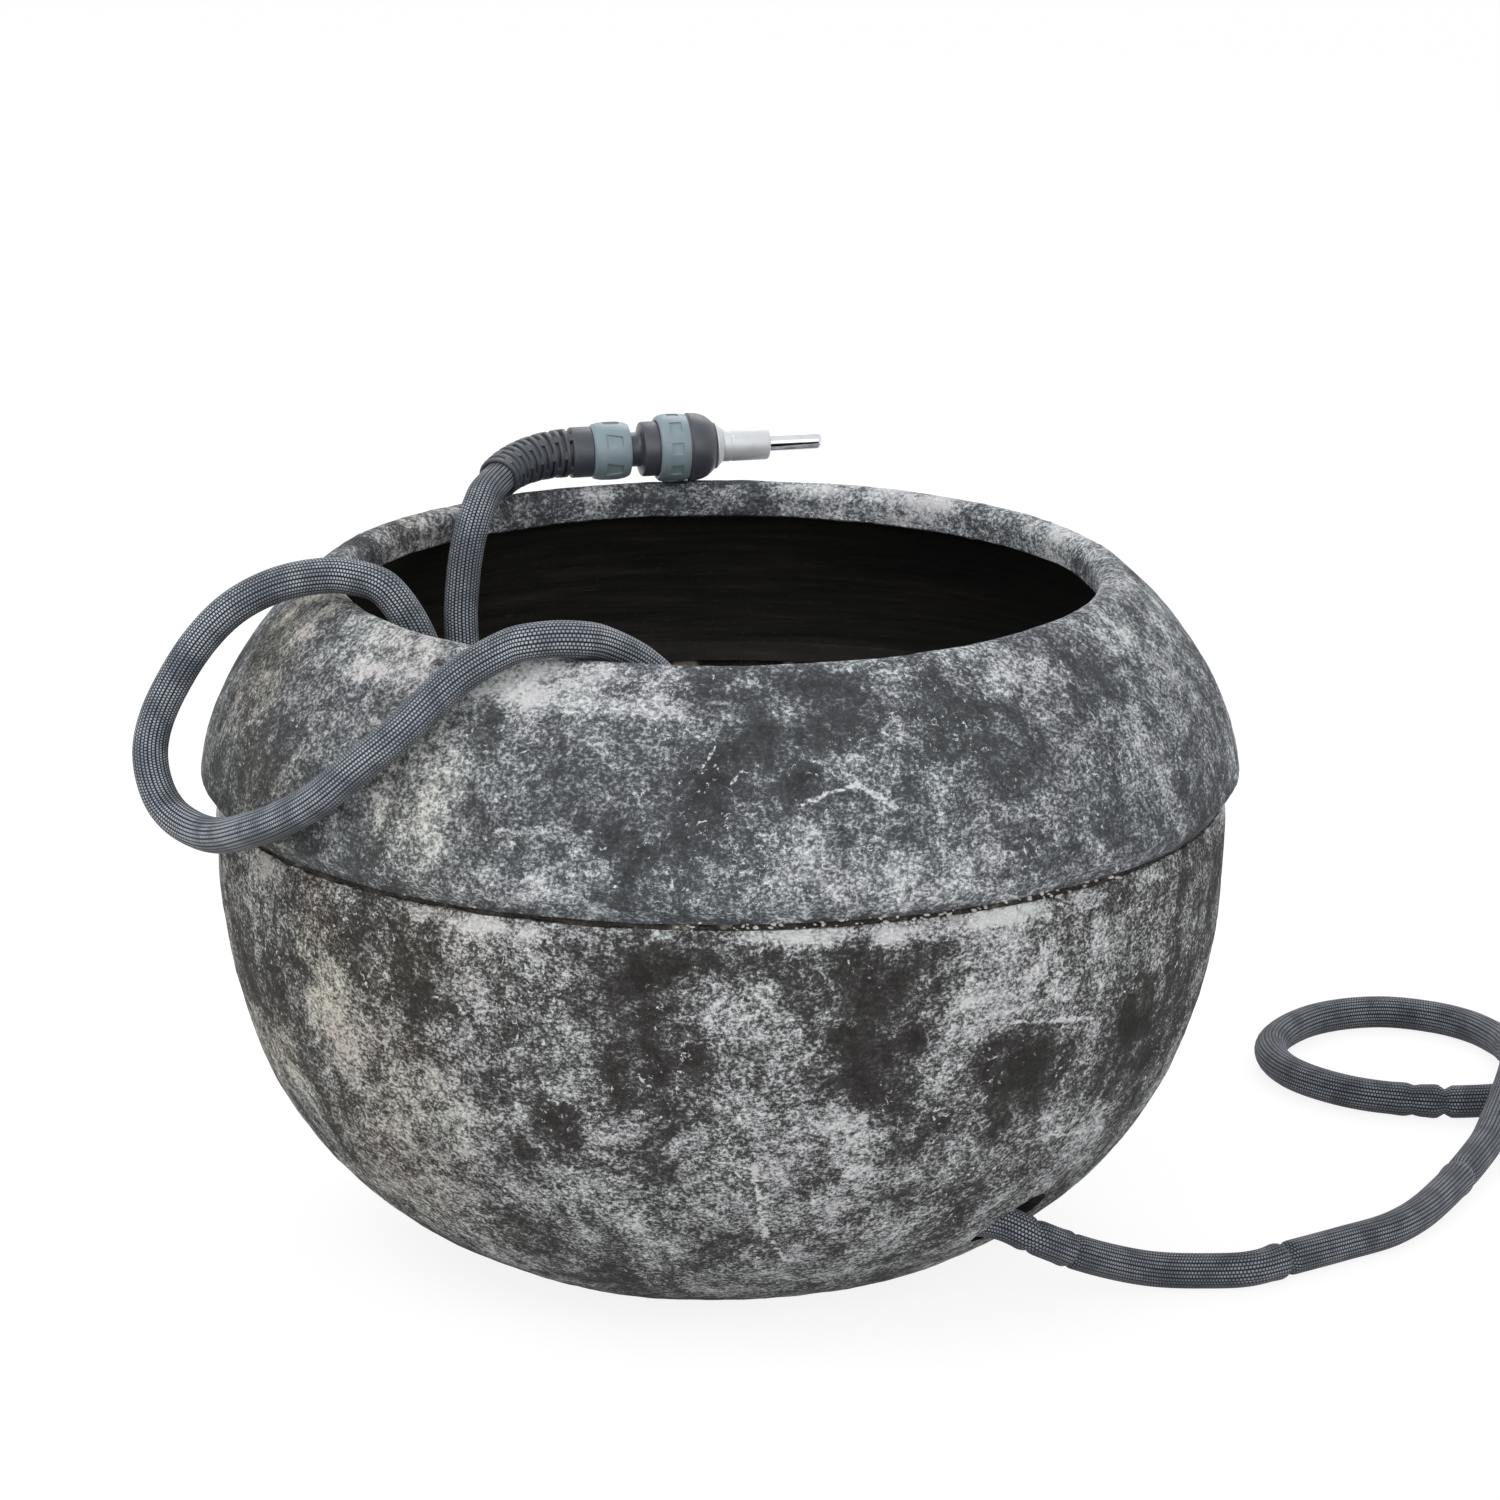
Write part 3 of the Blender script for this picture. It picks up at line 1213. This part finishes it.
def make_body(prefix, place):
    """The barb, skirt, neck, cup and socket in one moulding, set in its place."""
    barbs = []
    for i in range(BARBS):
        x = BARB_SHOULDER - BARB_L + 3 + i * BARB_PITCH
        barbs += [(x - 0.1, BARB_R - 0.6), (x + 3.2, BARB_R)]
    body = turned(
        prefix + "coupling_moulding",
        [(BARB_SHOULDER - BARB_L, WATER_R), (BARB_SHOULDER - BARB_L, BARB_R - 0.9)]
        + barbs
        + [
            (BARB_SHOULDER, BARB_R), (BARB_SHOULDER, HOSE_SLOT_R), (SKIRT_X, HOSE_SLOT_R),
            (SKIRT_X, SKIRT_R), (NUT_END, SKIRT_R), (NUT_END, NECK_R + 1.2), (NUT_END + 1.5, NECK_R),
            (CUP_X - 2, NECK_R), (CUP_X - 0.6, NECK_R + 0.8), (CUP_X, 13.4), (CUP_X + 0.6, 15.2),
            (CUP_X + 1.6, CUP_OUT), (CUP_X + CUP_L, CUP_OUT), (CUP_X + CUP_L, CUP_R),
            (CUP_X + 3, CUP_R), (CUP_X + 3, SOCKET_OUT), (SOCKET_END, SOCKET_OUT),
            (SOCKET_END, SOCKET_R), (SOCKET_FLOOR, SOCKET_R), (SOCKET_FLOOR, WATER_R),
        ],
        bevel=0.2,
    )
    slot = {"vertices": 4, "size": 3.1, "depth": 8, "stretch": (1.0, 1.45), "turn": 45}
    cut(body, around(CLAWS, prism, x=CLAW_X + CLAW_L / 2, radius=SOCKET_R + 1, **slot))
    return finish_piece(body, black_abs, place)


nozzle_body = make_body("", on_nozzle)
tap_body = make_body("tap_", on_tap)
print("coupling body faces:", len(nozzle_body.data.polygons))

# %% [markdown]
# ## The release sleeve and its grip
# The sleeve is what the hand pulls back. Its rear half is the grey ring with shallow pads for
# the fingers, and its front half is the black grip, which rounds in towards the nozzle.

# %% Release sleeve and grip
RING_R = 15.85
WEB_R = 10.9
WEB_X = 11.2
GRIP_END = 33.3
GRIP_WALL = 30.2
GRIP_MOUTH = 8.55
RECESS_X = 20.05
RECESS_R = 12.7
PADS = 9


def make_sleeve(prefix, place):
    """The grey ring with its pads and the black grip with its dimples, set in place."""
    ring = turned(
        prefix + "release_ring",
        [
            (0, RING_R), (0, SLEEVE_R - 1.9), (1.2, SLEEVE_R - 0.8), (4, SLEEVE_R - 0.1),
            (8, SLEEVE_R), (13, SLEEVE_R - 0.2), (RING_L, SLEEVE_R - 0.7), (RING_L, WEB_R),
            (WEB_X, WEB_R), (WEB_X, RING_R),
        ],
    )
    pad = {"vertices": 4, "size": 4.8, "depth": 2.3, "stretch": (1.1, 0.9), "turn": 45}
    cut(ring, around(PADS, prism, x=9.0, radius=SLEEVE_R, **pad))
    finish_piece(ring, grey_abs, place)
    grip = turned(
        prefix + "grip_moulding",
        [
            (RING_L, WEB_R), (RING_L, SLEEVE_R - 0.9), (RING_L + 0.8, SLEEVE_R - 0.9),
            (RING_L + 1.4, SLEEVE_R), (RING_L + 6, SLEEVE_R - 0.3), (RING_L + 9, SLEEVE_R - 1.0),
            (RING_L + 11.5, SLEEVE_R - 2.1), (RING_L + 13.5, SLEEVE_R - 3.6),
            (RING_L + 15.2, SLEEVE_R - 5.2), (GRIP_END, SLEEVE_R - 6.6), (GRIP_END, GRIP_MOUTH),
            (GRIP_WALL, GRIP_MOUTH), (GRIP_WALL, RECESS_R), (RECESS_X, RECESS_R), (RECESS_X, WEB_R),
        ],
    )
    dimple = {"vertices": 16, "size": 1.1, "depth": 1.2}
    cut(grip, around(PADS, prism, x=RING_L + 6.5, radius=SLEEVE_R + 0.1, **dimple))
    finish_piece(grip, black_abs, place)
    return ring, grip


nozzle_ring, nozzle_grip = make_sleeve("", on_nozzle)
tap_ring, tap_grip = make_sleeve("tap_", on_tap)
print("sleeve faces:", len(nozzle_ring.data.polygons) + len(nozzle_grip.data.polygons))

# %% [markdown]
# ## The spring behind the sleeve
# A spring of 1.2 mm wire pushes the sleeve forward again.

# %% Release springs
SPRING_R = 12.45
WIRE_R = 0.6
SPRING_CURLS = 6
CURL_STEPS = 32
WIRE_SIDES = 10
SPRING_LOW = CUP_X + 3 + 0.3 + WIRE_R
SPRING_HIGH = WEB_X - 0.3 - WIRE_R


def make_spring(prefix, place):
    """A coil of wire between the cup's floor and the sleeve's web."""
    steps = SPRING_CURLS * CURL_STEPS
    line = []
    for i in range(steps + 1):
        angle = math.tau * SPRING_CURLS * i / steps
        x = SPRING_LOW + (SPRING_HIGH - SPRING_LOW) * i / steps
        at = Vector((x, SPRING_R * math.sin(angle), SPRING_R * math.cos(angle))) * MM
        line.append((place @ at) / MM)
    spring = tube(prefix + "coiled_spring", line, [WIRE_R] * len(line), WIRE_SIDES)
    spring.data.materials.append(spring_wire)
    return spring


nozzle_spring = make_spring("", on_nozzle)
tap_spring = make_spring("tap_", on_tap)
print("spring length at rest, mm:", round(SPRING_HIGH - SPRING_LOW + 2 * WIRE_R, 2))

# %% [markdown]
# ## The bend guard
# The guard is a soft tube that keeps the hose from kinking. Its ribs are joined by short webs
# that change sides from one gap to the next, so it bends every way. It is modelled straight:
# the ribbed outline is spun, the webs are added, and then every point is moved on to the arc.

# %% Bend guard
GUARD_COLLAR = 12
GUARD_R = 14.35
GUARD_MOUTH_R = 12.3
GUARD_BORE = 10.1
GUARD_BASE = 11.1
RIBS = 11
RIB_SHARE = 0.56
WEBS_ROUND = 4

rib_step = guard_l / RIBS
outline = [(-guard_l, GUARD_BORE)]
for i in range(RIBS, 0, -1):
    rib_r = GUARD_R - 0.4 + (GUARD_MOUTH_R - GUARD_R) * i / RIBS
    far, near = -rib_step * i, -rib_step * (i - RIB_SHARE)
    outline += [(far, rib_r - 0.5), (far + 0.5, rib_r), (near - 0.5, rib_r), (near, rib_r - 0.5)]
    outline += [(near, GUARD_BASE), (-rib_step * (i - 1), GUARD_BASE)]
outline += [(0, GUARD_R - 0.6), (0.8, GUARD_R), (GUARD_COLLAR - 0.6, GUARD_R)]
outline += [(GUARD_COLLAR, GUARD_R - 0.6), (GUARD_COLLAR, GUARD_BORE)]
outline += [(-guard_l * i / GUARD_STEPS, GUARD_BORE) for i in range(GUARD_STEPS)]
guard = turned("bend_guard_moulding", outline, bevel=0.25, steps=72)

webs = []
for i in range(RIBS):
    rib_r = GUARD_R - 0.7 + (GUARD_MOUTH_R - GUARD_R) * (i + 1) / RIBS
    for side in range(WEBS_ROUND):
        bpy.ops.object.select_all(action="DESELECT")
        bpy.ops.mesh.primitive_cube_add(size=1)
        web = new_piece("web")
        gap_x = -rib_step * (i + (1 - RIB_SHARE) / 2)
        web.matrix_world = (
            Matrix.Rotation(math.radians(90 * side + 45 * (i % 2) + 20), 4, "X")
            @ Matrix.Translation((gap_x * MM, 0, (rib_r + GUARD_BASE) / 2 * MM))
            @ Matrix.Diagonal((rib_step * 0.55 * MM, 4.5 * MM, (rib_r - GUARD_BASE + 0.6) * MM, 1))
        )
        webs.append(web)
guard = join([guard] + webs)
finish_piece(guard, guard_rubber)
for vertex in guard.data.vertices:
    x, y, z = vertex.co / MM
    vertex.co = on_guard @ (bent(x, y, z) * MM)
print("guard faces:", len(guard.data.polygons))

# %% [markdown]
# ## The nozzle
# The nozzle is three turned pieces: the stem that plugs into the coupling, the satin barrel that
# twists on it, and the bright spout with its rounded end.

# %% Plug outline, for the nozzle and for the tap
PLUG_X = -1.2
PLUG_R = 7.95
O_RING_X = 4
O_RING_W = 3
O_RING_R = 6.2
GROOVE_R = 6.65
FLARE_X = 33.6


def plug_outline(way_r):
    """The plug from its bore at the tip to its shoulder."""
    return [
        (PLUG_X, way_r), (PLUG_X, PLUG_R - 0.7), (PLUG_X + 1.2, PLUG_R), (O_RING_X, PLUG_R),
        (O_RING_X, O_RING_R), (O_RING_X + O_RING_W, O_RING_R), (O_RING_X + O_RING_W, PLUG_R),
        (CLAW_X - 0.2, PLUG_R), (CLAW_X - 0.2, GROOVE_R), (CLAW_X + CLAW_L + 0.2, GROOVE_R),
        (CLAW_X + CLAW_L + 0.2, PLUG_R), (FLARE_X, PLUG_R),
    ]


# %% [markdown]
# The plug is one list of points, because the nozzle and the tap adaptor both have it. On the
# stem a flare and a spigot follow it. The barrel turns on the spigot, and the spout is set into
# the barrel's end.

# %% Stem, barrel and spout
FLARE_R = 13.3
FLARE_L = 4.5
BARREL_R = 9.35
BARREL_X = 38.25
BARREL_L = 27
SPIGOT_R = 6.4
SPIGOT_L = 12.5
WAY_R = 3.5
SPOUT_R = 4.9
SPOUT_L = 30.9
JET_R = 1.9
barrel_end = BARREL_X + BARREL_L
spout_x = barrel_end - 7

stem = turned(
    "nozzle_stem_turned",
    plug_outline(WAY_R)
    + [
        (FLARE_X, FLARE_R - 0.3), (FLARE_X + 0.5, FLARE_R), (FLARE_X + 1.0, FLARE_R - 0.4),
        (FLARE_X + 2.4, FLARE_R - 1.9), (FLARE_X + FLARE_L, BARREL_R + 0.1),
        (FLARE_X + FLARE_L, SPIGOT_R), (BARREL_X + SPIGOT_L, SPIGOT_R), (BARREL_X + SPIGOT_L, WAY_R),
    ],
    bevel=0.15,
)
finish_piece(stem, satin_lacquer, on_nozzle)

barrel = turned(
    "nozzle_barrel_turned",
    [
        (BARREL_X, SPIGOT_R + 0.1), (BARREL_X, BARREL_R - 0.2), (BARREL_X + 0.5, BARREL_R),
        (BARREL_X + 4, BARREL_R), (BARREL_X + 4.4, BARREL_R - 0.25), (BARREL_X + 5.2, BARREL_R - 0.25),
        (BARREL_X + 5.6, BARREL_R), (barrel_end - 1.6, BARREL_R), (barrel_end - 0.6, BARREL_R - 0.4),
        (barrel_end, BARREL_R - 1.2), (barrel_end, SPOUT_R + 0.5), (barrel_end - 0.5, SPOUT_R + 0.05),
        (spout_x, SPOUT_R + 0.05), (spout_x, WAY_R), (BARREL_X + SPIGOT_L + 2.6, WAY_R),
        (BARREL_X + SPIGOT_L + 2.6, SPIGOT_R + 0.1),
    ],
    bevel=0.12,
)
finish_piece(barrel, satin_lacquer, on_nozzle)

tip = barrel_end + SPOUT_L
spout = turned(
    "nozzle_spout_turned",
    [(spout_x + 0.2, JET_R), (spout_x + 0.2, SPOUT_R), (tip - 2.6, SPOUT_R)]
    + arc(tip - 2.6, SPOUT_R - 2.6, 2.6, 80, 0, 8)
    + [(tip, JET_R + 0.3), (tip - 0.5, JET_R)],
    bevel=0,
)
finish_piece(spout, bright_plate, on_nozzle)
print("nozzle from plug to spout, mm:", round(tip - PLUG_X, 1))

# %% [markdown]
# ## The tap adaptor
# The adaptor stays on the tap. Its plug is the nozzle's plug again. Its nut has a thread inside
# and grooves outside for the fingers. A real thread is a helix, but deep in a nut nobody sees
# that, so rings of the same outline are part of the spun outline.

# %% Tap adaptor
THREAD_R = 13.2
THREAD_X = 39.2
THREAD_L = 16
THREAD_PITCH = 2
THREADS = 7
SEAT_X = FLARE_X + 3
SEAT_R = 12.4
ADAPTOR_R = 17.5
FLUTES = 12
adaptor_end = THREAD_X + THREAD_L
threads = []
for i in range(THREADS):
    x = adaptor_end - 1.2 - i * THREAD_PITCH
    threads += [(x, THREAD_R), (x - 0.6, THREAD_R - 0.7)]
    threads += [(x - 1.0, THREAD_R - 0.7), (x - 1.6, THREAD_R)]
adaptor = turned(
    "tap_adaptor_moulding",
    plug_outline(WATER_R)
    + [
        (FLARE_X, ADAPTOR_R - 1.2), (FLARE_X + 1.2, ADAPTOR_R), (adaptor_end - 1.2, ADAPTOR_R),
        (adaptor_end, ADAPTOR_R - 1.2), (adaptor_end, THREAD_R),
    ]
    + threads
    + [(THREAD_X, THREAD_R), (THREAD_X, SEAT_R), (SEAT_X, SEAT_R), (SEAT_X, WATER_R)],
    bevel=0.12,
)
flute = {"vertices": 24, "size": 2.2, "depth": 1.8, "stretch": (3.2, 1.0)}
cut(adaptor, around(FLUTES, prism, x=FLARE_X + 10.8, radius=ADAPTOR_R + 0.3, **flute))
finish_piece(adaptor, grey_abs, on_tap)
print("adaptor faces:", len(adaptor.data.polygons))

# %% [markdown]
# ## Pieces that ride and pieces that stay
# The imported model's own small parts, such as the seals and the lock claws, have the right
# shape already and only get their material. Every new piece says which body carries it and
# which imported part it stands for.

# %% Kept parts get their finish
kept_finishes = {
    "coupling_seal": seal_rubber, "stem_o_ring": seal_rubber, "barrel_seal": seal_rubber,
    "tap_coupling_seal": seal_rubber, "tap_adaptor_o_ring": seal_rubber, "tap_washer": seal_rubber,
    "lock_claws": spring_wire, "tap_lock_claws": spring_wire,
}
for name, material in kept_finishes.items():
    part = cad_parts[name]
    part.data.materials.clear()
    part.data.materials.append(material)
print("packed parts kept:", len(kept_finishes))

# %% What each new piece rides on and stands for
ROOT = "pot_and_hose"
HOSE_NODES = ["hose_supply", "hose_coil", "hose_loop", "nozzle_hose_tail", "tap_hose_tail"]
for piece, body, nodes, slot in [
    (bowl, ROOT, ["bowl"], "bowl_cement"),
    (collar, ROOT, ["collar"], "collar_cement"),
    (bed, ROOT, ["mortar_bed"], "mortar"),
    (mortar_crumbs, ROOT, [], "mortar"),
    (hose, ROOT, HOSE_NODES, "hose_sleeve"),
    (guard, ROOT, ["bend_guard"], "guard_rubber"),
    (nozzle_nut, ROOT, ["clamp_nut"], "grey_plastic"),
    (nozzle_body, ROOT, ["coupling_body"], "black_plastic"),
    (nozzle_spring, ROOT, ["release_spring"], "spring_steel"),
    (nozzle_ring, "nozzle_sleeve", ["release_sleeve"], "grey_plastic"),
    (nozzle_grip, "nozzle_sleeve", ["sleeve_grip"], "black_plastic"),
    (stem, "nozzle_plug", ["nozzle_stem"], "satin_metal"),
    (barrel, "nozzle_barrel", ["nozzle_barrel"], "satin_metal"),
    (spout, "nozzle_barrel", ["nozzle_spout"], "bright_metal"),
    (tap_nut, ROOT, ["tap_clamp_nut"], "grey_plastic"),
    (tap_body, ROOT, ["tap_coupling_body"], "black_plastic"),
    (tap_spring, ROOT, ["tap_release_spring"], "spring_steel"),
    (tap_ring, "tap_sleeve", ["tap_release_sleeve"], "grey_plastic"),
    (tap_grip, "tap_sleeve", ["tap_sleeve_grip"], "black_plastic"),
    (adaptor, "tap_plug", ["tap_adaptor"], "grey_plastic"),
]:
    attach(piece, body)
    if nodes:
        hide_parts(*nodes)

# %% [markdown]
# A sleeve slides back five millimetres, and the spring in it has to get as much shorter. Its foot
# stands on the coupling, so it is squashed towards that end.

# %% Springs shorten as the sleeves slide back
for spring, joint, place in (
    (nozzle_spring, "nozzle_sleeve_slide", on_nozzle),
    (tap_spring, "tap_sleeve_slide", on_tap),
):
    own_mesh(spring)

# %% [markdown]
# The hose bends anywhere, so no joint describes it. It is declared as a limp cord of its real
# length, with the way it lies now, and with the fittings that hang on its two ends.

# %% [markdown]
# ## The studio
# The floor and the sky are at full white only for the camera and in reflections, so that white
# doesn't light the pot. Soft lamps from the left, the front and behind give the sheen that the
# photograph has, and the sky's plain level fills the shadows.

# %% Floor


def seen_directly(tree):
    """One for rays that the camera or a reflection sends out, and nought for the light's own."""
    rays = add(tree, "LightPath").outputs
    seen = calculate(tree, "MAXIMUM", rays["Is Camera Ray"], rays["Is Glossy Ray"])
    return calculate(tree, "MAXIMUM", seen, rays["Is Transmission Ray"])


FLOOR_SIZE = 30
FLOOR_WHITE = 1.16
FLOOR_SHARE = 0.75
bpy.ops.object.select_all(action="DESELECT")
bpy.ops.mesh.primitive_plane_add(size=FLOOR_SIZE)
floor = new_piece("floor")
floor_paint, tree, shader, output = start_material(
    "pale floor", {"Base Color": colour("E9E9E7"), "Roughness": 0.9}
)
seen = seen_directly(tree)
white = add(tree, "Emission", {"Color": colour("FFFFFF"), "Strength": FLOOR_WHITE})
share = calculate(tree, "MULTIPLY", seen, FLOOR_SHARE)
mixed = add(tree, "MixShader", {0: share, 1: shader.outputs["BSDF"], 2: white.outputs[0]})
tree.links.new(mixed.outputs[0], output.inputs["Surface"])
floor.data.materials.append(floor_paint)

# %% Sky
world = bpy.data.worlds.new("studio")
bpy.context.scene.world = world
world.use_nodes = True
tree = world.node_tree
tree.nodes.clear()
SKY_FILL = 0.55
sky_level = calculate(tree, "MULTIPLY_ADD", seen_directly(tree), 1 - SKY_FILL, SKY_FILL)
background = add(tree, "Background", {"Color": colour("FFFFFF"), "Strength": sky_level})
add(tree, "OutputWorld", {"Surface": background.outputs[0]})

# %% [markdown]
# Large lamps give the shadows soft edges. They are weak enough that the chalk doesn't clip to
# white.

# %% Lamps


def soft_lamp(name, at, aim, size, power):
    """A square soft lamp that points at a place."""
    data = bpy.data.lights.new(name, "AREA")
    data.size = size
    data.energy = power
    lamp = bpy.data.objects.new(name, data)
    bpy.context.scene.collection.objects.link(lamp)
    lamp.location = at
    lamp.rotation_euler = (Vector(aim) - Vector(at)).to_track_quat("-Z", "Y").to_euler()


soft_lamp("key from the upper left", (-1.6, -1.2, 2.6), (0, 0, 0.2), 1.6, 24)
soft_lamp("front, over the camera", (0.2, -3.0, 2.0), (0, 0, 0.25), 2.4, 22)
soft_lamp("fill from the front right", (2.2, -2.6, 1.4), (0, 0, 0.2), 2.0, 12)
soft_lamp("rim from behind", (0.5, 2.4, 2.2), (0, 0, 0.3), 1.6, 22)

bpy.context.scene.view_settings.view_transform = "Standard"
print("lamps:", len(bpy.data.lights))
